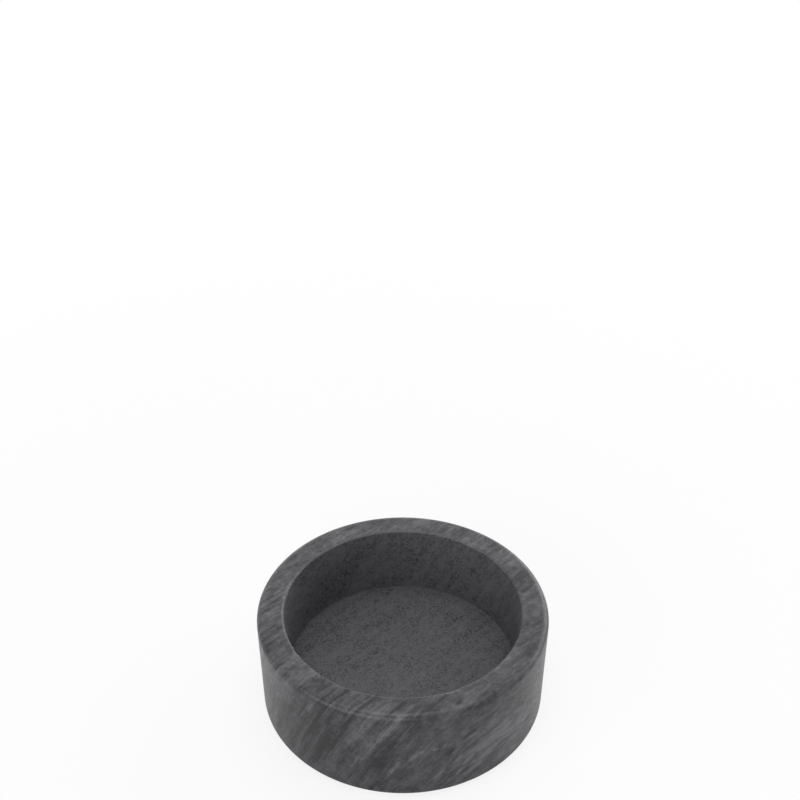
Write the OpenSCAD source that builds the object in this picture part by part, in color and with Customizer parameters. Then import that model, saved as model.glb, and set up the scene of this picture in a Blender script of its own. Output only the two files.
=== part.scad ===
// Round coaster turned from one block of marble, standing on self-adhesive foam pads.
// Millimetres, +Z up. The origin is on the axis, in the plane that the pads stand on.

/* [Stone body] */
// Diameter across the rim
rim_d = 127; // [115:0.5:150]
// Height of the stone alone, without the pads
body_h = 48; // [40:0.5:70]
// How far the side leans in between the rim and the base, on the radius
side_lean = 1; // [0:0.25:3]
// Radius of the rim's outer edge
rim_edge_r = 3; // [1:0.25:5]
// Radius of the edge round the base
base_edge_r = 2.5; // [1:0.25:4]

/* [Well] */
// Thickness of the wall at the rim
wall_t = 11.75; // [9:0.25:14]
// Thickness of the stone under the well
floor_t = 14.5; // [8:0.5:20]
// How far the well closes in between the rim and its floor, on the radius
well_lean = 0.75; // [0:0.25:2]
// Width of the bevel on the rim's inner edge
inner_bevel = 0.8; // [0.3:0.1:1.5]
// Radius in the corner between the well's wall and its floor
well_corner_r = 1.2; // [0.5:0.1:3]

/* [Foot pads] */
// How many pads stand under the base
pad_count = 4; // [3:1:6]
// Direction of the first pad, in degrees from +X
pad_first_angle = 45; // [0:5:90]
// Diameter of a pad
pad_d = 12.7; // [8:0.1:20]
// Thickness of a pad's foam
pad_t = 1.8; // [1:0.1:4]
// Radius of the pad's lower edge, which the cutting die presses round
pad_edge_r = 0.4; // [0.1:0.1:0.8]
// Gap between a pad and the rounded edge of the base
pad_inset = 9; // [2:0.5:15]
// Thickness of the adhesive film that holds a pad
adhesive_t = 0.2; // [0.1:0.05:0.5]

/* [Hidden] */

$fn = 180;

// How far a cut runs past the surface that it opens
overrun = 0.5;

rim_r = rim_d / 2;
base_r = rim_r - side_lean;
well_r = rim_r - wall_t;
well_floor_r = well_r - well_lean;
pad_r = pad_d / 2;
pad_ring_r = base_r - base_edge_r - pad_inset - pad_r;
body_z = pad_t + adhesive_t;

// Profiles below are drawn as radius and height, and then turned about the axis.

// What a round of radius r takes off an outer corner, seen from the centre of the round
module corner_waste(r) {
    difference() {
        square(r + overrun);
        circle(r);
    }
}

// The outside of the stone, as it leaves the lathe
module outer_profile() {
    difference() {
        polygon([
            [0, 0],
            [base_r, 0],
            [base_r, base_edge_r],
            [rim_r, body_h - rim_edge_r],
            [rim_r, body_h],
            [0, body_h]
        ]);
        translate([rim_r - rim_edge_r, body_h - rim_edge_r])
            corner_waste(rim_edge_r);
        translate([base_r - base_edge_r, base_edge_r])
            mirror([0, 1])
                corner_waste(base_edge_r);
    }
}

// What is bored out of the top: the well, and the bevel round its mouth
module well_profile() {
    difference() {
        polygon([
            [0, floor_t],
            [well_floor_r, floor_t],
            [well_floor_r, floor_t + well_corner_r],
            [well_r, body_h - inner_bevel],
            [well_r + inner_bevel, body_h],
            [well_r + inner_bevel, body_h + overrun],
            [0, body_h + overrun]
        ]);
        translate([well_floor_r - well_corner_r, floor_t + well_corner_r])
            mirror([0, 1])
                corner_waste(well_corner_r);
    }
}

module pad_profile() {
    difference() {
        square([pad_r, pad_t]);
        translate([pad_r - pad_edge_r, pad_edge_r])
            mirror([0, 1])
                corner_waste(pad_edge_r);
    }
}

// Puts its child at pad number i, on the ring of pads
module at_pad(i) {
    rotate(pad_first_angle + (i - 1) * 360 / pad_count)
        translate([pad_ring_r, 0, 0])
            children();
}

module coaster_body() {
    color([0.36, 0.37, 0.38])
        translate([0, 0, body_z])
            difference() {
                rotate_extrude() outer_profile();
                rotate_extrude() well_profile();
            }
}

module foot_pad(i) {
    color([0.11, 0.11, 0.12])
        at_pad(i)
            rotate_extrude() pad_profile();
}

module pad_adhesive(i) {
    color([0.82, 0.79, 0.70])
        at_pad(i)
            translate([0, 0, pad_t])
                cylinder(r = pad_r, h = adhesive_t);
}

coaster_body();
for (i = [1:pad_count]) {
    foot_pad(i);
    pad_adhesive(i);
}
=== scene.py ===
import math

import bpy
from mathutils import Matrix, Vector


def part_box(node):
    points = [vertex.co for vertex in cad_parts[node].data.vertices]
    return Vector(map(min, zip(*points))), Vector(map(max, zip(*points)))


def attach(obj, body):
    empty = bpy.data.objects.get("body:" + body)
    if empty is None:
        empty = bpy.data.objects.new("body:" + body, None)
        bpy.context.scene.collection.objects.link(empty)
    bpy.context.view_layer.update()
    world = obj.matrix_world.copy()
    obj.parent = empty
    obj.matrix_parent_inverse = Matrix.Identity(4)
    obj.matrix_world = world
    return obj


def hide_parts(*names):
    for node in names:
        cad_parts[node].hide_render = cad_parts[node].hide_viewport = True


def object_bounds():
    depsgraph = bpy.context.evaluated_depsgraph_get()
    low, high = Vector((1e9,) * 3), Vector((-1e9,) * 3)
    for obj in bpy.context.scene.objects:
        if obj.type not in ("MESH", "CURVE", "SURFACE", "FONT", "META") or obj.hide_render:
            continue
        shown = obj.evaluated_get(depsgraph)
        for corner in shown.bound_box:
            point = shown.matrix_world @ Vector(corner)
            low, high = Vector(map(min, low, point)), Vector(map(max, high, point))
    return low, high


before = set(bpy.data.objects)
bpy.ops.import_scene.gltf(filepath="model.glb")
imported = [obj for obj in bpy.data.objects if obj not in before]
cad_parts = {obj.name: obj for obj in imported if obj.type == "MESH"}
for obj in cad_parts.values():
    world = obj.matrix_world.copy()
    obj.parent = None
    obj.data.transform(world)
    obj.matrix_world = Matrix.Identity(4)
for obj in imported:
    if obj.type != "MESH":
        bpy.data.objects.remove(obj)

cadLow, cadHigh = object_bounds()
mm = 0.001
weldDistance = 0.002 * mm  # points closer than this become one
print("frame loaded:", len(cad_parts), "nodes")


# sRGB hex to the linear colour that a shader wants
def linearColour(hexColour):
    channels = [int(hexColour[i:i + 2], 16) / 255 for i in (1, 3, 5)]
    linear = [c / 12.92 if c <= 0.04045 else ((c + 0.055) / 1.055) ** 2.4 for c in channels]
    return (*linear, 1.0)


# adds one node: inputs hold plain values or the sockets to link from
def addNode(tree, kind, inputs=None, **settings):
    node = tree.nodes.new(kind)
    for name, value in settings.items():
        setattr(node, name, value)
    for key, value in (inputs or {}).items():
        if isinstance(value, bpy.types.NodeSocket):
            tree.links.new(value, node.inputs[key])
        else:
            node.inputs[key].default_value = value
    return node


def newMaterial(name):
    material = bpy.data.materials.new(name)
    material.use_nodes = True
    material.node_tree.nodes.clear()
    return material, material.node_tree


def addObject(name, data):
    thing = bpy.data.objects.new(name, data)
    bpy.context.scene.collection.objects.link(thing)
    return thing


# a Geometry Nodes tree with named inputs; returns the tree and its input sockets by name
def newShapeTree(name, floats, seeds=()):
    tree = bpy.data.node_groups.new(name, "GeometryNodeTree")
    tree.is_modifier = True
    for label in floats:
        tree.interface.new_socket(name=label, in_out="INPUT", socket_type="NodeSocketFloat")
    for label in seeds:
        tree.interface.new_socket(name=label, in_out="INPUT", socket_type="NodeSocketInt")
    tree.interface.new_socket(name="Finish", in_out="INPUT", socket_type="NodeSocketMaterial")
    tree.interface.new_socket(name="Geometry", in_out="OUTPUT", socket_type="NodeSocketGeometry")
    return tree, addNode(tree, "NodeGroupInput").outputs


# runs the tree once on an empty mesh and keeps the result as a plain mesh
def bakeShape(tree, pieceName, values):
    carrierName = pieceName + "Carrier"
    carrier = addObject(carrierName, bpy.data.meshes.new(carrierName))
    modifier = carrier.modifiers.new("shape", "NODES")
    modifier.node_group = tree
    for item in tree.interface.items_tree:
        if item.in_out == "INPUT":
            modifier[item.identifier] = values[item.name]
    bpy.context.view_layer.update()
    graph = bpy.context.evaluated_depsgraph_get()
    mesh = bpy.data.meshes.new_from_object(carrier.evaluated_get(graph), depsgraph=graph)
    mesh.name = pieceName
    carrier.modifiers.remove(modifier)
    bpy.data.objects.remove(carrier)
    return addObject(pieceName, mesh)


# a profile of corners, each (radius, height, round), turned once round the axis.
# It runs from the underside's centre outwards and up, so that the faces look outwards
def turnProfile(tree, corners, spacing, segments, roundSteps):
    # the corners become one line, rounded where they ask for it
    index = addNode(tree, "GeometryNodeInputIndex").outputs[0]
    places = addNode(tree, "GeometryNodeIndexSwitch", {"Index": index}, data_type="VECTOR")
    rounds = addNode(tree, "GeometryNodeIndexSwitch", {"Index": index}, data_type="FLOAT")
    for switch in (places, rounds):
        while len(switch.index_switch_items) < len(corners):
            switch.index_switch_items.new()
    for number, (radius, height, roundRadius) in enumerate(corners):
        place = addNode(tree, "ShaderNodeCombineXYZ", {"X": radius, "Y": height})
        tree.links.new(place.outputs[0], places.inputs[number + 1])
        if isinstance(roundRadius, bpy.types.NodeSocket):
            tree.links.new(roundRadius, rounds.inputs[number + 1])
    line = addNode(tree, "GeometryNodeMeshLine", {"Count": len(corners)})
    moved = addNode(tree, "GeometryNodeSetPosition", {
        "Geometry": line.outputs[0], "Position": places.outputs[0]})
    curve = addNode(tree, "GeometryNodeMeshToCurve", {"Mesh": moved.outputs[0]})
    rounded = addNode(tree, "GeometryNodeFilletCurve", {
        "Curve": curve.outputs[0], "Count": roundSteps, "Radius": rounds.outputs[0],
        "Limit Radius": True}, mode="POLY")

    # straight runs get rings, as many as the spacing asks for
    position = addNode(tree, "GeometryNodeInputPosition").outputs[0]
    following = addNode(tree, "ShaderNodeMath", {0: index, 1: 1.0}, operation="ADD")
    nextPlace = addNode(tree, "GeometryNodeFieldAtIndex", {
        "Value": position, "Index": following.outputs[0]}, data_type="FLOAT_VECTOR")
    run = addNode(tree, "ShaderNodeVectorMath", {
        0: nextPlace.outputs[0], 1: position}, operation="DISTANCE")
    cuts = addNode(tree, "ShaderNodeMath", {
        0: run.outputs["Value"], 1: spacing(position)}, operation="DIVIDE")
    ringed = addNode(tree, "GeometryNodeSubdivideCurve", {
        "Curve": rounded.outputs[0], "Cuts": cuts.outputs[0]})

    # a grid with one column for each segment takes the line's shape, column by column
    size = addNode(tree, "GeometryNodeAttributeDomainSize", {"Geometry": ringed.outputs[0]},
                   component="CURVE")
    rings = size.outputs["Point Count"]
    grid = addNode(tree, "GeometryNodeMeshGrid", {
        "Vertices X": segments + 1, "Vertices Y": rings})
    ring = addNode(tree, "ShaderNodeMath", {0: index, 1: rings}, operation="FLOORED_MODULO")
    columnShare = addNode(tree, "ShaderNodeMath", {0: index, 1: rings}, operation="DIVIDE")
    column = addNode(tree, "ShaderNodeMath", {0: columnShare.outputs[0]}, operation="FLOOR")
    angle = addNode(tree, "ShaderNodeMath", {
        0: column.outputs[0], 1: math.tau / segments}, operation="MULTIPLY")
    sample = addNode(tree, "GeometryNodeSampleIndex", {
        "Geometry": ringed.outputs[0], "Value": position, "Index": ring.outputs[0]},
        data_type="FLOAT_VECTOR", clamp=True)
    place = addNode(tree, "ShaderNodeSeparateXYZ", {0: sample.outputs[0]})
    flat = addNode(tree, "ShaderNodeCombineXYZ", {
        "X": place.outputs["X"], "Z": place.outputs["Y"]})
    turned = addNode(tree, "ShaderNodeVectorRotate", {
        "Vector": flat.outputs[0], "Angle": angle.outputs[0]}, rotation_type="Z_AXIS")
    rolled = addNode(tree, "GeometryNodeSetPosition", {
        "Geometry": grid.outputs[0], "Position": turned.outputs[0]})
    closed = addNode(tree, "GeometryNodeMergeByDistance", {
        "Geometry": rolled.outputs[0], "Distance": weldDistance})
    return closed.outputs[0]


# the length of a vector's level part
def levelLength(tree, vector):
    level = addNode(tree, "ShaderNodeVectorMath", {0: vector, 1: (1, 1, 0)}, operation="MULTIPLY")
    length = addNode(tree, "ShaderNodeVectorMath", {0: level.outputs[0]}, operation="LENGTH")
    return length.outputs["Value"]


# moves every point inwards by this depth
def pressedIn(tree, geometry, depth):
    normal = addNode(tree, "GeometryNodeInputNormal").outputs[0]
    inwards = addNode(tree, "ShaderNodeMath", {0: depth, 1: -1.0}, operation="MULTIPLY")
    move = addNode(tree, "ShaderNodeVectorMath", {
        0: normal, "Scale": inwards.outputs[0]}, operation="SCALE")
    pressed = addNode(tree, "GeometryNodeSetPosition", {
        "Geometry": geometry, "Offset": move.outputs[0]})
    return pressed.outputs[0]


# the last nodes of every tree
def endTree(tree, geometry, finish):
    smooth = addNode(tree, "GeometryNodeSetShadeSmooth", {
        "Geometry": geometry, "Shade Smooth": True})
    real = addNode(tree, "GeometryNodeRealizeInstances", {"Geometry": smooth.outputs[0]})
    painted = addNode(tree, "GeometryNodeSetMaterial", {
        "Geometry": real.outputs[0], "Material": finish})
    addNode(tree, "NodeGroupOutput", {"Geometry": painted.outputs[0]})


# Camera, where the photograph was taken from
cameraSetup = {
    "place": (-1.24 * mm, -472.2 * mm, 495.2 * mm),
    "pitchDown": 35.29,  # degrees below the horizon
    "lens": 66.5,
    "sensor": 36.0,
}


def makeCamera(setup):
    data = bpy.data.cameras.new("photoCamera")
    data.lens = setup["lens"]
    data.sensor_width = setup["sensor"]
    camera = addObject("photoCamera", data)
    camera.location = setup["place"]
    camera.rotation_euler = (math.radians(90 - setup["pitchDown"]), 0, 0)
    bpy.context.scene.camera = camera


makeCamera(cameraSetup)
bpy.context.scene.view_settings.view_transform = "Standard"
print("camera placed")


# Honed calcite marble, charcoal grey. Graphite lies in thin layers that lean through the block,
# so the eye gets dark and pale streaks that run on from the rim down the side, over a fine
# crystal grain. Honing leaves it satin: no mirror image, but a soft sheen that whitens towards
# the outline. Sizes are in mm.
marbleLook = {
    "graphite": "#101012",
    "dark": "#1a1a1d",
    "body": "#404044",
    "pale": "#69696d",
    "toneStops": {"graphite": 0.12, "dark": 0.31, "body": 0.5, "pale": 0.83},
    "frosted": "#606063",  # pale grains, which the coarse hone leaves in the well
    "frosting": (0.08, 0.97),  # least and greatest share of it in a grain
    "cornerShade": "#28282a",  # painted shade in the corner of the well
    "crushed": "#66676a",  # the worn edge of its mouth
    "layerHeading": 44.0,  # degrees from straight ahead towards +X, seen from above
    "layerDip": 24.0,  # degrees that the layers' normal points downwards
    # what pushes the layers about: length, height and detail
    "ragged": (5.0, 0.9, 4.0),
    "waves": (34.0, 4.0, 3.0),
    "frayed": (1.6, 0.45, 3.0),  # for the single streaks alone
    "layerRoughness": 0.55,
    "layerDistortion": 0.2,
    # the layering is livelier on the left: place across the layers, and strength there
    "lively": (12.0, 1.14),
    "calm": (34.0, 1.0),
    "mottleSize": 3.5,
    "mottleDetail": 4.0,
    "mottleRoughness": 0.62,
    "mottleShare": 0.50,  # of the tone, as for the crystals
    "crystalSize": 0.7,
    "crystalShare": 0.10,
    "paleMarks": 1.3,  # strength of the single streaks
    "darkMarks": 0.8,
    "breakSpan": (0.32, 0.68),  # where a noise's values mostly lie
    "leftByLayers": 0.15,  # the least of a streak that the fine layers leave
    "leftByMottle": 0.75,
    "ior": 1.5,
    "specular": 0.42,  # honing scatters part of what a polish would mirror
    "roughness": 0.33,
    "honingSpread": (-0.04, 0.10),  # what patches of the hone add to it
    "patchShare": 0.5,  # of the mottle in those patches, beside the crystals
    "boredRoughness": 0.24,  # added where the well was bored and only coarsely honed
    "relief": 0.012,  # how far crystals stand out
    "reliefStrength": 0.6,
    "seed": 4.0,
}

# layering of several sizes: width across the layers, length along them, depth down them,
# detail and share of the tone
layering = (
    (8.0, 30.0, 60.0, 2.0, 0.50),
    (2.4, 14.0, 28.0, 3.0, 0.56),
    (0.9, 3.6, 9.0, 3.0, 0.40),
    (0.6, 10.0, 24.0, 2.0, 0.26),
)

# single streaks and bands of this block, with a few marked patches of painted shade and light:
# place across the layers, along them and up from mid height, then half of its width, length and
# height, and its tone, negative where it is dark
streaks = (
    # the dark vein on the left, from the rim down
    (7.3, -54, 25, 0.7, 12, 7, -0.60),
    (7.3, -61, 17, 0.8, 12, 9, -0.75),
    (6.8, -62, 7, 0.9, 10, 9, -0.65),
    (6.4, -63, -3, 1.2, 10, 10, -0.35),
    (-0.5, -62, 13, 0.9, 8, 7, -0.28),
    (0.8, -62, -9, 0.9, 8, 6, -0.18),
    # the broader dark band to its right
    (17.1, -52, 25, 1.1, 12, 6, -0.30),
    (17.3, -57, 17, 1.3, 12, 10, -0.32),
    (17.7, -59, 4, 2.2, 12, 12, -0.24),
    (18.9, -60, -8, 2.6, 12, 10, -0.16),
    (15.2, -60, -4, 3.2, 12, 14, -0.12),
    (14.5, -60, -3, 5.0, 14, 18, -0.10),
    # painted shade: a broad, faint darkening over the whole left front, rim and side
    (6.0, -58, 0, 26.0, 40, 44, -0.15),
    (-8.0, -61, -8, 1.6, 9, 9, -0.14),
    (2.0, -62, 18, 1.8, 8, 6, 0.12),
    (-19.0, -60, 19, 1.6, 8, 7, 0.16),
    (-11.5, -61, -7, 1.8, 7, 7, 0.14),
    (23.3, -55, 12, 3.5, 14, 16, 0.08),
    (22.7, -56, 9, 0.9, 10, 8, -0.10),
    (24.3, -53, 19, 1.2, 8, 6, 0.10),
    (26.5, -55, -2, 2.2, 12, 14, -0.08),
    # the bright streak in front and the dark patch to its right
    (31.0, -45, 24, 2.0, 9, 7, 0.18),
    (30.5, -49, 16, 2.2, 10, 9, 0.28),
    (29.9, -52, 8, 2.0, 10, 9, 0.24),
    (29.2, -55, -2, 1.6, 10, 8, 0.16),
    (30.2, -49, 15, 0.6, 9, 10, 0.18),
    (31.3, -48, 18, 0.5, 9, 8, 0.14),
    (32.9, -49, 13, 0.7, 8, 8, -0.20),
    (35.2, -48, 8, 1.6, 10, 8, -0.24),
    (36.4, -50, -3, 3.0, 12, 11, -0.26),
    (30.5, -57, -14, 0.9, 9, 9, -0.20),
    (35.0, -44, 18, 1.4, 8, 5, 0.12),
    (41.1, -47, -7, 1.4, 9, 8, 0.18),
    (43.6, -42, 1, 1.2, 7, 5, 0.14),
    (44.8, -42, -9, 3.6, 10, 9, -0.12),
    # specks of calcite, and a dark one
    (44.4, -38, 4, 0.9, 3, 1.2, 0.30),
    (47.0, -33, 4.4, 1.4, 3.5, 1.1, 0.42),
    (48.5, -30, 6, 0.5, 2, 4, 0.18),
    (51.3, -27, 1, 1.1, 4, 3, -0.50),
    # a paler ground on the right: partly the stone's own tone, partly painted light on the side
    # that the light favours
    (57.0, -2, -6, 17.0, 42, 28, 0.13),
    # its dark bands, which run up and over in arcs
    (51.3, -19, 9, 1.0, 8, 5, -0.26),
    (51.3, -10, 15, 0.9, 8, 4, -0.32),
    (52.6, -1, 13, 1.0, 7, 4, -0.32),
    (54.3, 8, 7, 1.2, 8, 5, -0.34),
    (54.6, 17, 2, 1.1, 9, 5, -0.26),
    (54.4, -19, 1, 0.7, 7, 4, -0.36),
    (54.9, -9, 5, 0.8, 8, 4, -0.32),
    (55.9, -30, -15, 0.7, 6, 6, -0.32),
    (59.4, -21, -13, 0.6, 8, 5, -0.34),
    (61.9, -16, -16, 0.9, 9, 6, -0.34),
    (61.2, -8, -11, 0.8, 7, 4, -0.28),
    (57.6, 3, 0, 0.5, 4, 3, -0.28),
    (59.2, 14, -8, 0.7, 6, 3, -0.20),
    # and its bright ones, which climb across them
    (54.2, -31, -11, 1.2, 7, 7, 0.17),
    (54.8, -25, -5, 1.1, 7, 4, 0.16),
    (56.0, -18, -2, 0.9, 6, 3, 0.14),
    (57.2, -20, -7, 0.9, 6, 4, 0.20),
    (57.4, -13, -3, 1.0, 7, 4, 0.20),
    (57.4, -5, 0, 1.0, 7, 4, 0.22),
    (56.8, 0, 2, 0.7, 4, 3, 0.16),
    (58.3, -23, -12, 0.8, 6, 4, 0.18),
    (59.2, -16, -9, 0.8, 7, 4, 0.20),
    (59.5, -9, -6.5, 0.9, 6, 3, 0.24),
    (58.7, -2, -3, 0.9, 6, 3, 0.22),
    (58.3, 12, -5, 1.4, 7, 3, 0.16),
    (49.9, -14, 15, 1.0, 9, 4, 0.08),
    (52.6, -17, 8, 1.0, 8, 4, 0.08),
    (53.3, -7, 10, 1.0, 7, 4, 0.08),
    (50.4, 5, 18, 1.6, 7, 4, 0.14),
    (46.4, -34, 15, 1.4, 9, 7, 0.10),
    # across the rim, from the left round to the right
    # painted shade: a faint darkening over the front of the rim, towards the right
    (38.0, -5, 26, 18.0, 36, 5, -0.05),
    (32.0, 36, 25, 10.0, 22, 8, -0.06),
    (10.0, 50, 25, 16.0, 16, 8, -0.08),
    (-51.0, -36, 25, 12.0, 24, 8, 0.06),
    (-44.0, -44, 25, 3.0, 8, 8, 0.06),
    (-31.9, -55, 25, 1.2, 8, 8, -0.20),
    (-20.2, -59, 25, 1.2, 7, 8, -0.24),
    (0.4, -57, 25, 1.2, 5, 5, -0.18),
    (4.3, -55, 25, 2.4, 6, 5, -0.10),
    (21.8, -45, 25, 1.2, 6, 5, -0.16),
    (26.6, -41, 25, 1.2, 9, 5, -0.30),
    (31.0, -38, 25, 1.1, 8, 6, -0.20),
    (34.6, -30, 25, 1.8, 13, 6, -0.24),
    (40.3, -22, 25, 1.2, 3, 4, -0.30),
    (39.2, -15, 25, 1.3, 7, 5, 0.10),
    (43.7, -12, 25, 1.2, 8, 5, -0.18),
    (37.4, 15, 25, 1.6, 12, 6, 0.12),
    (41.8, 13, 25, 1.4, 10, 6, 0.10),
    (44.9, 12, 25, 1.2, 9, 5, -0.22),
    (32.5, 36, 25, 1.4, 6, 6, -0.20),
    (16.4, 48, 25, 1.2, 7, 7, -0.34),
    (10.1, 50, 25, 0.9, 6, 7, -0.24),
    (8.1, 52, 25, 0.8, 6, 7, -0.16),
    (4.2, 54, 25, 0.8, 6, 7, -0.16),
    (-0.6, 54, 25, 0.9, 6, 7, -0.16),
    (1.8, 54, 25, 1.4, 6, 7, 0.14),
    # round the back
    (-34.0, 52, 4, 1.6, 12, 26, -0.26),
    (-39.0, 46, -2, 1.2, 14, 20, 0.22),
    (-42.0, 40, 6, 1.0, 16, 24, -0.24),
    (-46.5, 34, 0, 2.0, 14, 22, 0.18),
    (-50.0, 24, 4, 1.2, 16, 26, -0.28),
    (-53.5, 14, -6, 1.0, 14, 16, 0.26),
    (-57.0, 4, 2, 1.6, 16, 22, -0.20),
    (-58.5, -8, -4, 0.9, 14, 16, 0.24),
    (-55.0, -20, 2, 1.6, 14, 24, -0.24),
    (-50.0, -30, -4, 1.0, 12, 18, 0.22),
    (-42.0, -42, 2, 1.4, 12, 24, -0.22),
    (-24.0, 58, 0, 1.4, 10, 22, 0.18),
    (-14.0, 62, -2, 1.2, 10, 22, -0.24),
    (12.0, 62, -4, 1.6, 10, 20, 0.16),
    (24.0, 56, 2, 1.2, 10, 22, -0.22),
)


# unit vectors across the layers, along them and down them
def layerAxes(heading, dip):
    turn, lean = math.radians(heading), math.radians(dip)
    level = math.cos(lean)
    across = Vector((level * math.sin(turn), -level * math.cos(turn), -math.sin(lean)))
    along = Vector((math.cos(turn), math.sin(turn), 0))
    return across, along, across.cross(along)


# how far a point lies along each axis
def alongAxes(tree, point, axes):
    return [addNode(tree, "ShaderNodeVectorMath", {0: point, 1: axis},
                    operation="DOT_PRODUCT").outputs["Value"] for axis in axes]


# a point pushed about by noise: coarse for the layers' waves, fine for ragged streaks
def stirred(tree, point, seed, length, height, detail):
    noise = addNode(tree, "ShaderNodeTexNoise", {
        "Vector": point, "Scale": 1 / length, "Detail": detail, "W": seed},
        noise_dimensions="4D")
    swing = addNode(tree, "ShaderNodeVectorMath", {
        0: noise.outputs["Color"], 1: (0.5, 0.5, 0.5)}, operation="SUBTRACT")
    push = addNode(tree, "ShaderNodeVectorMath", {
        0: swing.outputs[0], "Scale": height}, operation="SCALE")
    return addNode(tree, "ShaderNodeVectorMath", {
        0: point, 1: push.outputs[0]}, operation="ADD").outputs[0]


# the noise of each layering with its share of the tone, widest layers first
def layerNoises(tree, look, waved, axes):
    inLayers = addNode(tree, "ShaderNodeCombineXYZ", dict(zip("XYZ", alongAxes(tree, waved, axes))))
    noises = []
    for width, length, depth, detail, share in layering:
        stretched = addNode(tree, "ShaderNodeVectorMath", {
            0: inLayers.outputs[0], 1: (1 / width, 1 / length, 1 / depth)}, operation="MULTIPLY")
        noise = addNode(tree, "ShaderNodeTexNoise", {
            "Vector": stretched.outputs[0], "Scale": 1.0, "Detail": detail,
            "Roughness": look["layerRoughness"], "Distortion": look["layerDistortion"],
            "W": look["seed"]}, noise_dimensions="4D")
        noises.append((noise.outputs["Fac"], share))
    return noises


# noises added up by their shares, into a tone that lies about 0.5
def groundTone(tree, look, across, noises):
    total = 0.0
    for socket, share in noises:
        part = addNode(tree, "ShaderNodeMath", {0: socket, 1: 0.5}, operation="SUBTRACT")
        total = addNode(tree, "ShaderNodeMath", {
            0: part.outputs[0], 1: share, 2: total}, operation="MULTIPLY_ADD").outputs[0]
    (livelyPlace, livelyStrength), (calmPlace, calmStrength) = look["lively"], look["calm"]
    strength = addNode(tree, "ShaderNodeMapRange", {
        "Value": across, "From Min": livelyPlace, "From Max": calmPlace,
        "To Min": livelyStrength, "To Max": calmStrength}, interpolation_type="SMOOTHSTEP")
    return addNode(tree, "ShaderNodeMath", {
        0: total, 1: strength.outputs[0], 2: 0.5}, operation="MULTIPLY_ADD").outputs[0]


# what the single streaks add to the tone. They are bundles of fine lines, which grain breaks up
def streakTone(tree, look, ragged, axes, fineLayers, mottle):
    frayed = stirred(tree, ragged, look["seed"], *look["frayed"])
    across, along = alongAxes(tree, frayed, axes[:2])
    upright = addNode(tree, "ShaderNodeSeparateXYZ", {0: frayed})
    spot = addNode(tree, "ShaderNodeCombineXYZ", {
        "X": across, "Y": along, "Z": upright.outputs["Z"]})
    marks = 0.0
    for *place, halfWidth, halfLength, halfHeight, tone in streaks:
        away = addNode(tree, "ShaderNodeVectorMath", {
            0: spot.outputs[0], 1: place}, operation="SUBTRACT")
        scaled = addNode(tree, "ShaderNodeVectorMath", {
            0: away.outputs[0], 1: (1 / halfWidth, 1 / halfLength, 1 / halfHeight)},
            operation="MULTIPLY")
        reach = addNode(tree, "ShaderNodeVectorMath", {0: scaled.outputs[0]}, operation="LENGTH")
        strongest = tone * look["paleMarks" if tone > 0 else "darkMarks"]
        mark = addNode(tree, "ShaderNodeMapRange", {
            "Value": reach.outputs["Value"], "To Min": strongest, "To Max": 0.0},
            interpolation_type="SMOOTHSTEP")
        marks = addNode(tree, "ShaderNodeMath", {
            0: mark.outputs[0], 1: marks}, operation="ADD").outputs[0]
    lowest, highest = look["breakSpan"]
    for socket, least in ((fineLayers, look["leftByLayers"]), (mottle, look["leftByMottle"])):
        broken = addNode(tree, "ShaderNodeMapRange", {
            "Value": socket, "From Min": lowest, "From Max": highest,
            "To Min": least, "To Max": 2 - least})
        marks = addNode(tree, "ShaderNodeMath", {
            0: marks, 1: broken.outputs[0]}, operation="MULTIPLY").outputs[0]
    return marks


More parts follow.
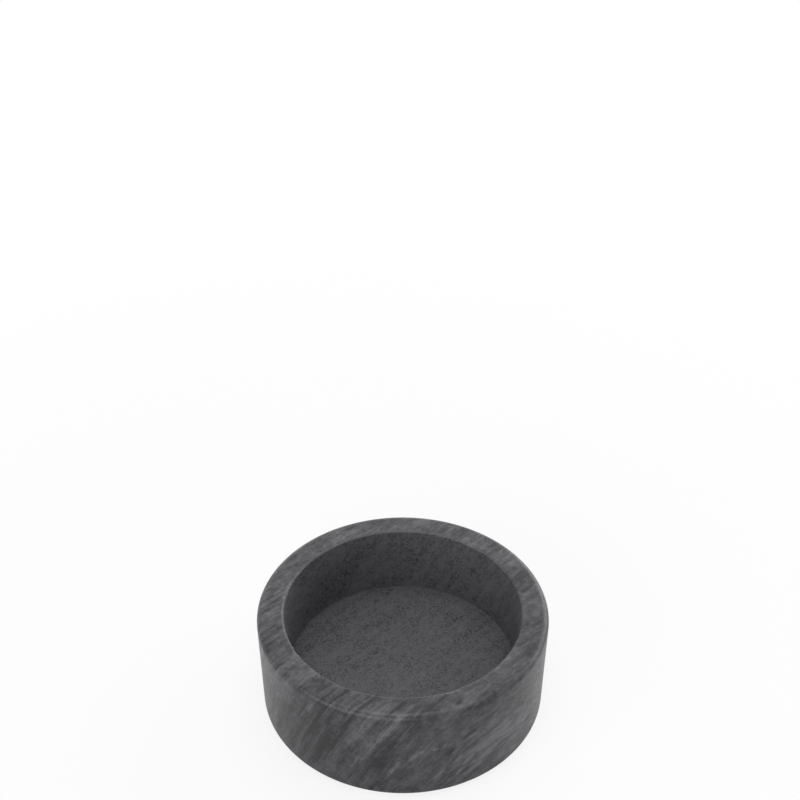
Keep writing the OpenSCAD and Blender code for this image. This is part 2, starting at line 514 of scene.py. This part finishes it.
def makeMarble(look):
    material, tree = newMaterial("honedMarble")
    coordinates = addNode(tree, "ShaderNodeTexCoord")
    centred = addNode(tree, "ShaderNodeVectorMath", {
        0: coordinates.outputs["Object"], 1: (cadLow + cadHigh) / 2}, operation="SUBTRACT")
    point = addNode(tree, "ShaderNodeVectorMath", {
        0: centred.outputs[0], "Scale": 1 / mm}, operation="SCALE").outputs[0]
    axes = layerAxes(look["layerHeading"], look["layerDip"])
    across = alongAxes(tree, point, axes[:1])[0]
    ragged = stirred(tree, point, look["seed"], *look["ragged"])
    waved = stirred(tree, ragged, look["seed"], *look["waves"])

    mottle = addNode(tree, "ShaderNodeTexNoise", {
        "Vector": point, "Scale": 1 / look["mottleSize"], "Detail": look["mottleDetail"],
        "Roughness": look["mottleRoughness"], "W": look["seed"]},
        noise_dimensions="4D").outputs["Fac"]
    cells = addNode(tree, "ShaderNodeTexVoronoi", {
        "Vector": point, "Scale": 1 / look["crystalSize"]})
    # each crystal draws three values of its own
    crystal = addNode(tree, "ShaderNodeSeparateColor", {0: cells.outputs["Color"]}).outputs

    layers = layerNoises(tree, look, waved, axes)
    ground = groundTone(tree, look, across, layers + [
        (mottle, look["mottleShare"]), (crystal[0], look["crystalShare"])])
    marks = streakTone(tree, look, ragged, axes, layers[-1][0], mottle)
    tone = addNode(tree, "ShaderNodeMath", {0: marks, 1: ground}, operation="ADD")
    ramp = addNode(tree, "ShaderNodeValToRGB", {0: tone.outputs[0]})
    stops = ramp.color_ramp.elements
    while len(stops) < len(look["toneStops"]):
        stops.new(1.0)
    for stop, (shade, place) in zip(stops, look["toneStops"].items()):
        stop.position = place
        stop.color = linearColour(look[shade])

    # what tools and use have done to it, and the painted shade in the well's corner: the stone's
    # mesh says where
    bored, corner, worn = [
        addNode(tree, "ShaderNodeAttribute", attribute_name=label).outputs["Fac"]
        for label in ("bored", "corner", "wear")]
    leastFrosted, mostFrosted = look["frosting"]
    grains = addNode(tree, "ShaderNodeMapRange", {
        "Value": crystal[2], "To Min": leastFrosted, "To Max": mostFrosted})
    frosting = addNode(tree, "ShaderNodeMath", {
        0: bored, 1: grains.outputs[0]}, operation="MULTIPLY").outputs[0]
    colour = ramp.outputs[0]
    for share, shade in ((frosting, "frosted"), (corner, "cornerShade"), (worn, "crushed")):
        colour = addNode(tree, "ShaderNodeMix", {
            "Factor": share, "A": colour, "B": linearColour(look[shade])},
            data_type="RGBA").outputs["Result"]

    patches = addNode(tree, "ShaderNodeMath", {
        0: mottle, 1: look["patchShare"], 2: crystal[1]}, operation="MULTIPLY_ADD")
    leastAdded, mostAdded = look["honingSpread"]
    roughness = addNode(tree, "ShaderNodeMapRange", {
        "Value": patches.outputs[0], "From Max": 1 + look["patchShare"],
        "To Min": look["roughness"] + leastAdded,
        "To Max": look["roughness"] + mostAdded}).outputs[0]
    for share in (bored, corner):
        roughness = addNode(tree, "ShaderNodeMath", {
            0: share, 1: look["boredRoughness"], 2: roughness},
            operation="MULTIPLY_ADD").outputs[0]
    bump = addNode(tree, "ShaderNodeBump", {
        "Height": crystal[2], "Distance": look["relief"] * mm,
        "Strength": look["reliefStrength"]})
    shader = addNode(tree, "ShaderNodeBsdfPrincipled", {
        "Base Color": colour, "Roughness": roughness, "IOR": look["ior"],
        "Specular IOR Level": look["specular"], "Normal": bump.outputs[0]})
    addNode(tree, "ShaderNodeOutputMaterial", {"Surface": shader.outputs[0]})
    return material


honedMarble = makeMarble(marbleLook)
print("marble mixed")


# The stone body, turned outside and bored inside. Sizes in mm, heights from its own underside
stoneBody = {
    "sideLean": 1.0,  # the side comes in by this much at the base
    "rimRound": 3.0,
    "baseRound": 2.5,
    "wall": 11.75,
    "floor": 14.5,
    "wellLean": 0.75,
    "bevel": 0.8,
    "cornerRound": 1.2,
    "edgeZone": 3.0,  # how far below the rim the rings lie close
    "ringMargin": 0.1,  # above the zone's lower end, where they start
    "fineRing": 0.42,
    "coarseRing": 5.0,
    "segments": 880,
    "roundSteps": 9,
    "chipDepth": 0.35,
    "chipSize": 1.3,
    "chipDetail": 2.0,
    "chipRoughness": 0.6,
    "chipSpread": 14.0,  # length over which chips come and go
    "chipLevels": (1.02, 1.24),  # of both noises together: no chip, and a full one
    "chipReach": (0.6, 2.4),  # from the mouth's edge: chips in full, and none
    "edgeBruise": 0.18,  # share of crushed, paler stone all along the bevel
    "bruiseReach": (0.85, 1.0),
    "cornerZone": 1.5,  # how far the painted shade reaches out of the well's corner
    "handFinish": 0.06,  # how far a hand-held hone strays
    "strayLength": 30.0,
    "groundZone": 4.0,  # height above the ground underside over which the stray sets in
    "boredFrom": (4.0, 8.0),  # heights between which the finish of the well sets in
    "seed": 11,
}


# the stone's outline, and the height where its close rings start
def stoneOutline(tree, given, sizes):
    turns = {}
    for label, base, operation, distance in (
            ("baseTurn", "Underside", "ADD", "Base Round"),
            ("rimTurn", "Top", "SUBTRACT", "Rim Round"),
            ("mouthRadius", "Well Radius", "ADD", "Bevel"),
            ("bevelFoot", "Top", "SUBTRACT", "Bevel"),
            ("edgeStart", "Top", "SUBTRACT", "Edge Zone"),
            ("cornerTurn", "Well Floor", "ADD", "Corner Round")):
        turns[label] = addNode(tree, "ShaderNodeMath", {
            0: given[base], 1: given[distance]}, operation=operation).outputs[0]
    corners = (
        (0.0, given["Underside"], None),
        (given["Base Radius"], given["Underside"], given["Base Round"]),
        (given["Base Radius"], turns["baseTurn"], None),
        (given["Rim Radius"], turns["rimTurn"], None),
        (given["Rim Radius"], given["Top"], given["Rim Round"]),
        (turns["mouthRadius"], given["Top"], None),
        (given["Well Radius"], turns["bevelFoot"], None),
        (given["Well Radius"], turns["edgeStart"], None),
        (given["Well Floor Radius"], turns["cornerTurn"], None),
        (given["Well Floor Radius"], given["Well Floor"], given["Corner Round"]),
        (0.0, given["Well Floor"], None),
    )
    closeFrom = addNode(tree, "ShaderNodeMath", {
        0: turns["edgeStart"], 1: sizes["ringMargin"] * mm}, operation="ADD")
    return corners, closeFrom.outputs[0]


# how far points lie outside a ring round the axis, and how far from it in any direction
def fromRing(tree, radius, height, ringRadius, ringHeight):
    outwards = addNode(tree, "ShaderNodeMath", {
        0: radius, 1: ringRadius}, operation="SUBTRACT").outputs[0]
    upwards = addNode(tree, "ShaderNodeMath", {
        0: height, 1: ringHeight}, operation="SUBTRACT").outputs[0]
    gap = addNode(tree, "ShaderNodeCombineXYZ", {"X": outwards, "Y": upwards})
    away = addNode(tree, "ShaderNodeVectorMath", {0: gap.outputs[0]}, operation="LENGTH")
    return outwards, away.outputs["Value"]


# the wear at the well's mouth, which is 1 where a chip is deepest
def edgeWear(tree, given, sizes, position, edgeDistance):
    nearest, farthest = sizes["chipReach"]
    nearEdge = addNode(tree, "ShaderNodeMapRange", {
        "Value": edgeDistance, "From Min": nearest * mm, "From Max": farthest * mm,
        "To Min": 1.0, "To Max": 0.0}, interpolation_type="SMOOTHSTEP")
    frequency = addNode(tree, "ShaderNodeMath", {0: 1.0, 1: given["Chip Size"]}, operation="DIVIDE")
    chipNoise = addNode(tree, "ShaderNodeTexNoise", {
        "Vector": position, "W": given["Seed"], "Scale": frequency.outputs[0],
        "Detail": sizes["chipDetail"], "Roughness": sizes["chipRoughness"]},
        noise_dimensions="4D")
    spread = addNode(tree, "ShaderNodeTexNoise", {
        "Vector": position, "W": given["Seed"], "Scale": 1 / (sizes["chipSpread"] * mm),
        "Detail": 1.0}, noise_dimensions="4D")
    bite = addNode(tree, "ShaderNodeMath", {
        0: chipNoise.outputs["Fac"], 1: spread.outputs["Fac"]}, operation="ADD")
    noChip, fullChip = sizes["chipLevels"]
    chips = addNode(tree, "ShaderNodeMapRange", {
        "Value": bite.outputs[0], "From Min": noChip, "From Max": fullChip},
        interpolation_type="SMOOTHSTEP")
    return addNode(tree, "ShaderNodeMath", {
        0: chips.outputs[0], 1: nearEdge.outputs[0]}, operation="MULTIPLY").outputs[0]


def makeStoneTree(sizes):
    tree, given = newShapeTree("turnedStone", (
        "Rim Radius", "Base Radius", "Underside", "Top", "Rim Round", "Base Round",
        "Well Radius", "Well Floor Radius", "Well Floor", "Bevel", "Corner Round", "Edge Zone",
        "Chip Depth", "Chip Size", "Edge Bruise", "Corner Zone", "Hand Finish"), ("Seed",))
    corners, closeFrom = stoneOutline(tree, given, sizes)

    # close rings near the rim, where the edges are worn, and wide ones elsewhere
    def spacing(position):
        height = addNode(tree, "ShaderNodeSeparateXYZ", {0: position}).outputs["Y"]
        near = addNode(tree, "FunctionNodeCompare", {
            "A": height, "B": closeFrom}, operation="GREATER_EQUAL")
        choice = addNode(tree, "GeometryNodeSwitch", {
            "Switch": near.outputs[0], "False": sizes["coarseRing"] * mm,
            "True": sizes["fineRing"] * mm}, input_type="FLOAT")
        return choice.outputs[0]

    turned = turnProfile(tree, corners, spacing, sizes["segments"], sizes["roundSteps"])

    position = addNode(tree, "GeometryNodeInputPosition").outputs[0]
    height = addNode(tree, "ShaderNodeSeparateXYZ", {0: position}).outputs["Z"]
    radius = levelLength(tree, position)
    above = addNode(tree, "ShaderNodeMath", {
        0: height, 1: given["Underside"]}, operation="SUBTRACT").outputs[0]
    outwards, edgeDistance = fromRing(tree, radius, height, given["Well Radius"], given["Top"])
    worn = edgeWear(tree, given, sizes, position, edgeDistance)
    chipping = addNode(tree, "ShaderNodeMath", {
        0: worn, 1: given["Chip Depth"]}, operation="MULTIPLY")

    # the hone strays a little everywhere but on the ground underside
    stray = addNode(tree, "ShaderNodeTexNoise", {
        "Vector": position, "W": given["Seed"], "Scale": 1 / (sizes["strayLength"] * mm),
        "Detail": 2.0}, noise_dimensions="4D")
    strayed = addNode(tree, "ShaderNodeMath", {
        0: stray.outputs["Fac"], 1: given["Hand Finish"]}, operation="MULTIPLY")
    honed = addNode(tree, "ShaderNodeMapRange", {
        "Value": above, "From Max": sizes["groundZone"] * mm})
    depth = addNode(tree, "ShaderNodeMath", {
        0: strayed.outputs[0], 1: honed.outputs[0], 2: chipping.outputs[0]},
        operation="MULTIPLY_ADD")

    # the material reads where the edge is worn, where the stone was bored and where the well's
    # corner gets painted shade
    fullBruise, noBruise = sizes["bruiseReach"]
    onBevel = addNode(tree, "ShaderNodeMapRange", {
        "Value": edgeDistance, "From Min": fullBruise * mm, "From Max": noBruise * mm,
        "To Min": given["Edge Bruise"], "To Max": 0.0})
    bruised = addNode(tree, "ShaderNodeMath", {0: worn, 1: onBevel.outputs[0]}, operation="MAXIMUM")
    insideMouth = addNode(tree, "ShaderNodeMapRange", {
        "Value": outwards, "From Min": given["Bevel"], "From Max": 0.0})
    lowest, highest = sizes["boredFrom"]
    overFloor = addNode(tree, "ShaderNodeMapRange", {
        "Value": above, "From Min": lowest * mm, "From Max": highest * mm})
    bored = addNode(tree, "ShaderNodeMath", {
        0: insideMouth.outputs[0], 1: overFloor.outputs[0]}, operation="MULTIPLY")
    cornerDistance = fromRing(
        tree, radius, height, given["Well Floor Radius"], given["Well Floor"])[1]
    # painted shade, darkest in the well's corner and fading out from it
    cornerShade = addNode(tree, "ShaderNodeMapRange", {
        "Value": cornerDistance, "From Min": 0.0, "From Max": given["Corner Zone"],
        "To Min": 1.0, "To Max": 0.0}, interpolation_type="SMOOTHSTEP")
    marked = turned
    for label, field in (("wear", bruised), ("bored", bored), ("corner", cornerShade)):
        marked = addNode(tree, "GeometryNodeStoreNamedAttribute", {
            "Geometry": marked, "Name": label, "Value": field.outputs[0]},
            data_type="FLOAT", domain="POINT").outputs[0]
    endTree(tree, pressedIn(tree, marked, depth.outputs[0]), given["Finish"])
    return tree


def makeStone(sizes, finish):
    low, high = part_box("coaster_body")
    rimRadius = (high.x - low.x) / 2
    wellRadius = rimRadius - sizes["wall"] * mm
    stone = bakeShape(makeStoneTree(sizes), "stoneBody", {
        "Rim Radius": rimRadius,
        "Base Radius": rimRadius - sizes["sideLean"] * mm,
        "Underside": low.z,
        "Top": high.z,
        "Rim Round": sizes["rimRound"] * mm,
        "Base Round": sizes["baseRound"] * mm,
        "Well Radius": wellRadius,
        "Well Floor Radius": wellRadius - sizes["wellLean"] * mm,
        "Well Floor": low.z + sizes["floor"] * mm,
        "Bevel": sizes["bevel"] * mm,
        "Corner Round": sizes["cornerRound"] * mm,
        "Edge Zone": sizes["edgeZone"] * mm,
        "Chip Depth": sizes["chipDepth"] * mm,
        "Chip Size": sizes["chipSize"] * mm,
        "Edge Bruise": sizes["edgeBruise"],
        "Corner Zone": sizes["cornerZone"] * mm,
        "Hand Finish": sizes["handFinish"] * mm,
        "Seed": sizes["seed"],
        "Finish": finish,
    })
    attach(stone, "root")
    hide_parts("coaster_body")
    return stone


stone = makeStone(stoneBody, honedMarble)
print("stone turned:", len(stone.data.polygons), "faces")


# Closed-cell polyethylene foam, extruded and die cut: nearly black, matt, with cells that show
# as fine pits, painted darker inside as shade, and a paler rim to each cell that the die opened.
# Sizes in mm
foamLook = {
    "pitShade": "#161618",
    "wall": "#2e2e31",
    "shadeStops": {"pitShade": 0.05, "wall": 0.42},
    "cellSize": 0.45,
    "blotchSize": 3.0,
    "roughness": 0.82,
    "relief": 0.05,
    "reliefStrength": 0.8,
}


def makeFoam(look):
    material, tree = newMaterial("closedCellFoam")
    coordinates = addNode(tree, "ShaderNodeTexCoord")
    cells = addNode(tree, "ShaderNodeTexVoronoi", {
        "Vector": coordinates.outputs["Object"], "Scale": 1 / (look["cellSize"] * mm)},
        feature="SMOOTH_F1")
    blotches = addNode(tree, "ShaderNodeTexNoise", {
        "Vector": coordinates.outputs["Object"], "Scale": 1 / (look["blotchSize"] * mm),
        "Detail": 4.0})
    depth = addNode(tree, "ShaderNodeMath", {
        0: cells.outputs["Distance"], 1: blotches.outputs["Fac"]}, operation="MULTIPLY")
    # darker towards the middle of each cell: painted shade in the pits
    ramp = addNode(tree, "ShaderNodeValToRGB", {0: depth.outputs[0]})
    for stop, (shade, place) in zip(ramp.color_ramp.elements, look["shadeStops"].items()):
        stop.position = place
        stop.color = linearColour(look[shade])
    bump = addNode(tree, "ShaderNodeBump", {
        "Height": cells.outputs["Distance"], "Distance": look["relief"] * mm,
        "Strength": look["reliefStrength"]})
    shader = addNode(tree, "ShaderNodeBsdfPrincipled", {
        "Base Color": ramp.outputs[0], "Roughness": look["roughness"], "Normal": bump.outputs[0]})
    addNode(tree, "ShaderNodeOutputMaterial", {"Surface": shader.outputs[0]})
    return material


# Four die-cut foam pads. Sizes in mm
footPad = {
    "edgeRound": 0.4,  # the cutting die presses the lower edge round
    "ring": 0.2,
    "segments": 150,
    "roundSteps": 4,
    "cellSize": 0.8,
    "cellDepth": 0.09,
    "cellOpening": (0.15, 0.45),  # from a cell's middle, in cells: full depth, and none
    "cutWander": 0.12,  # how far the die's cut strays inwards
    "wanderLength": 5.0,
}


def makePadTree(sizes):
    tree, given = newShapeTree("dieCutPad", (
        "Centre X", "Centre Y", "Underside", "Radius", "Thickness", "Edge Round", "Cell Size",
        "Cell Depth", "Cut Wander"), ("Seed",))
    upper = addNode(tree, "ShaderNodeMath", {
        0: given["Underside"], 1: given["Thickness"]}, operation="ADD")
    corners = (
        (0.0, given["Underside"], None),
        (given["Radius"], given["Underside"], given["Edge Round"]),
        (given["Radius"], upper.outputs[0], None),
        (0.0, upper.outputs[0], None),
    )
    turned = turnProfile(tree, corners, lambda position: sizes["ring"] * mm,
                         sizes["segments"], sizes["roundSteps"])

    position = addNode(tree, "GeometryNodeInputPosition").outputs[0]
    frequency = addNode(tree, "ShaderNodeMath", {0: 1.0, 1: given["Cell Size"]}, operation="DIVIDE")
    cells = addNode(tree, "ShaderNodeTexVoronoi", {
        "Vector": position, "W": given["Seed"], "Scale": frequency.outputs[0]},
        voronoi_dimensions="4D")
    openFrom, openTo = sizes["cellOpening"]
    pits = addNode(tree, "ShaderNodeMapRange", {
        "Value": cells.outputs["Distance"], "From Min": openFrom, "From Max": openTo,
        "To Min": given["Cell Depth"], "To Max": 0.0}, interpolation_type="SMOOTHSTEP")

    # the cut strays on the sides alone
    wander = addNode(tree, "ShaderNodeTexNoise", {
        "Vector": position, "W": given["Seed"], "Scale": 1 / (sizes["wanderLength"] * mm),
        "Detail": 1.0}, noise_dimensions="4D")
    strayed = addNode(tree, "ShaderNodeMath", {
        0: wander.outputs["Fac"], 1: given["Cut Wander"]}, operation="MULTIPLY")
    sideways = levelLength(tree, addNode(tree, "GeometryNodeInputNormal").outputs[0])
    cut = addNode(tree, "ShaderNodeMath", {
        0: strayed.outputs[0], 1: sideways}, operation="MULTIPLY")
    depth = addNode(tree, "ShaderNodeMath", {
        0: cut.outputs[0], 1: pits.outputs[0]}, operation="ADD")
    pitted = pressedIn(tree, turned, depth.outputs[0])
    centre = addNode(tree, "ShaderNodeCombineXYZ", {"X": given["Centre X"], "Y": given["Centre Y"]})
    placed = addNode(tree, "GeometryNodeTransform", {
        "Geometry": pitted, "Translation": centre.outputs[0]})
    endTree(tree, placed.outputs[0], given["Finish"])
    return tree


def makePads(sizes, finish):
    tree = makePadTree(sizes)
    names = sorted(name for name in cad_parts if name.startswith("foot_pad_"))
    for number, name in enumerate(names, 1):
        low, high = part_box(name)
        pad = bakeShape(tree, f"footPad{number}", {
            "Centre X": (low.x + high.x) / 2,
            "Centre Y": (low.y + high.y) / 2,
            "Underside": low.z,
            "Radius": (high.x - low.x) / 2,
            "Thickness": high.z - low.z,
            "Edge Round": sizes["edgeRound"] * mm,
            "Cell Size": sizes["cellSize"] * mm,
            "Cell Depth": sizes["cellDepth"] * mm,
            "Cut Wander": sizes["cutWander"] * mm,
            "Seed": number,
            "Finish": finish,
        })
        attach(pad, "root")
        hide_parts(name)
    print("pads cut:", len(names), "with", len(pad.data.polygons), "faces each")


makePads(footPad, makeFoam(foamLook))


# Acrylic adhesive film, cast clear and a little yellow, with trapped air that clouds it in
# spots. Sizes in mm
filmLook = {
    "cloudy": "#d8d4c6",
    "clear": "#b9b3a0",
    "shadeStops": {"cloudy": 0.1, "clear": 0.4},
    "bubbleSize": 0.9,
    "cloudSize": 4.0,
    "roughness": 0.28,
    "ior": 1.47,
}


def makeFilm(look):
    material, tree = newMaterial("acrylicAdhesiveFilm")
    coordinates = addNode(tree, "ShaderNodeTexCoord")
    bubbles = addNode(tree, "ShaderNodeTexVoronoi", {
        "Vector": coordinates.outputs["Object"], "Scale": 1 / (look["bubbleSize"] * mm)})
    clouds = addNode(tree, "ShaderNodeTexNoise", {
        "Vector": coordinates.outputs["Object"], "Scale": 1 / (look["cloudSize"] * mm),
        "Detail": 3.0})
    both = addNode(tree, "ShaderNodeMath", {
        0: bubbles.outputs["Distance"], 1: clouds.outputs["Fac"]}, operation="MULTIPLY")
    ramp = addNode(tree, "ShaderNodeValToRGB", {0: both.outputs[0]})
    for stop, (shade, place) in zip(ramp.color_ramp.elements, look["shadeStops"].items()):
        stop.position = place
        stop.color = linearColour(look[shade])
    shader = addNode(tree, "ShaderNodeBsdfPrincipled", {
        "Base Color": ramp.outputs[0], "Roughness": look["roughness"], "IOR": look["ior"]})
    addNode(tree, "ShaderNodeOutputMaterial", {"Surface": shader.outputs[0]})
    return material


adhesiveFilm = makeFilm(filmLook)
for name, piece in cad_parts.items():
    if name.startswith("pad_adhesive_"):
        for slot in piece.material_slots:
            slot.material = adhesiveFilm
print("film laid")


# Soft studio: a white surround and a pale table, one soft box overhead, and three low ones
# behind on the right, straight behind and at the left front
studio = {
    "fillLevel": 0.30,
    # soft boxes: place, width and height in metres, power in watts
    "boxes": (
        ((0.0, 0.0, 1.3), (1.0, 1.0), 5.9),
        ((1.05, 0.85, 0.55), (1.6, 1.0), 10.5),
        ((0.0, 1.4, 0.6), (1.6, 0.9), 3.0),
        ((-0.62, -0.95, 0.5), (1.7, 0.9), 8.5),
    ),
    "tableWidth": 6.0,
    "tableGap": 0.02,  # mm below the pads, so that no two faces share a plane
    "tableColour": "#bcbcbc",  # as it lights the stone
    "shownColour": "#fbfbfb",  # as the camera and reflections see it
    "whiteShare": 0.84,  # plain white share of the table to the camera; the rest keeps the shadow
    "mirroredShare": 0.20,  # the same, in reflections
    "shadowReach": (0.14, 0.50),  # metres from the axis
}


# whether the camera sees a surface, plainly or mirrored, and whether it sees it plainly
def seenBy(tree):
    path = addNode(tree, "ShaderNodeLightPath")
    plainly = path.outputs["Is Camera Ray"]
    seen = addNode(tree, "ShaderNodeMath", {
        0: plainly, 1: path.outputs["Is Glossy Ray"]}, operation="MAXIMUM")
    anySeen = addNode(tree, "ShaderNodeMath", {
        0: seen.outputs[0], 1: path.outputs["Is Transmission Ray"]}, operation="MAXIMUM")
    return anySeen.outputs[0], plainly


def makeSurround(setup):
    world = bpy.data.worlds.new("whiteSurround")
    world.use_nodes = True
    tree = world.node_tree
    tree.nodes.clear()
    strength = addNode(tree, "ShaderNodeMapRange", {
        "Value": seenBy(tree)[0], "To Min": setup["fillLevel"], "To Max": 1.0})
    surround = addNode(tree, "ShaderNodeBackground", {
        "Color": (1, 1, 1, 1), "Strength": strength.outputs[0]})
    addNode(tree, "ShaderNodeOutputWorld", {"Surface": surround.outputs[0]})
    bpy.context.scene.world = world


def makeBoxes(setup):
    for number, (place, size, power) in enumerate(setup["boxes"], 1):
        light = bpy.data.lights.new(f"softBox{number}", "AREA")
        light.shape = "RECTANGLE"
        light.size, light.size_y = size
        light.energy = power
        box = addObject(f"softBox{number}", light)
        box.location = place
        box.rotation_euler = (-Vector(place)).to_track_quat("-Z", "Y").to_euler()


def makeTableFinish(setup):
    material, tree = newMaterial("whiteTable")
    anySeen, plainly = seenBy(tree)
    pureShare = addNode(tree, "ShaderNodeMapRange", {
        "Value": plainly, "To Min": setup["mirroredShare"], "To Max": setup["whiteShare"]})
    # away from the stone and its shadow, the table is plain white
    coordinates = addNode(tree, "ShaderNodeTexCoord")
    distance = addNode(tree, "ShaderNodeVectorMath", {
        0: coordinates.outputs["Object"]}, operation="LENGTH")
    shadowStart, shadowEnd = setup["shadowReach"]
    fading = addNode(tree, "ShaderNodeMapRange", {
        "Value": distance.outputs["Value"], "From Min": shadowStart, "From Max": shadowEnd,
        "To Min": pureShare.outputs[0], "To Max": 1.0}, interpolation_type="SMOOTHSTEP")
    share = addNode(tree, "ShaderNodeMath", {
        0: anySeen, 1: fading.outputs[0]}, operation="MULTIPLY")
    shown = addNode(tree, "ShaderNodeMix", {
        "Factor": anySeen, "A": linearColour(setup["tableColour"]),
        "B": linearColour(setup["shownColour"])}, data_type="RGBA")
    matt = addNode(tree, "ShaderNodeBsdfDiffuse", {"Color": shown.outputs["Result"]})
    white = addNode(tree, "ShaderNodeEmission", {"Color": (1, 1, 1, 1), "Strength": 1.0})
    mixed = addNode(tree, "ShaderNodeMixShader", {
        0: share.outputs[0], 1: matt.outputs[0], 2: white.outputs[0]})
    # from below, the table isn't there
    side = addNode(tree, "ShaderNodeNewGeometry")
    nothing = addNode(tree, "ShaderNodeBsdfTransparent")
    oneSided = addNode(tree, "ShaderNodeMixShader", {
        0: side.outputs["Backfacing"], 1: mixed.outputs[0], 2: nothing.outputs[0]})
    addNode(tree, "ShaderNodeOutputMaterial", {"Surface": oneSided.outputs[0]})
    return material


def makeTable(setup):
    mesh = bpy.data.meshes.new("table")
    half = setup["tableWidth"] / 2
    mesh.from_pydata([(-half, -half, 0), (half, -half, 0), (half, half, 0), (-half, half, 0)], [],
                     [(0, 1, 2, 3)])
    mesh.materials.append(makeTableFinish(setup))
    table = addObject("table", mesh)
    table.location.z = cadLow.z - setup["tableGap"] * mm


makeSurround(studio)
makeBoxes(studio)
makeTable(studio)
print("studio lit")
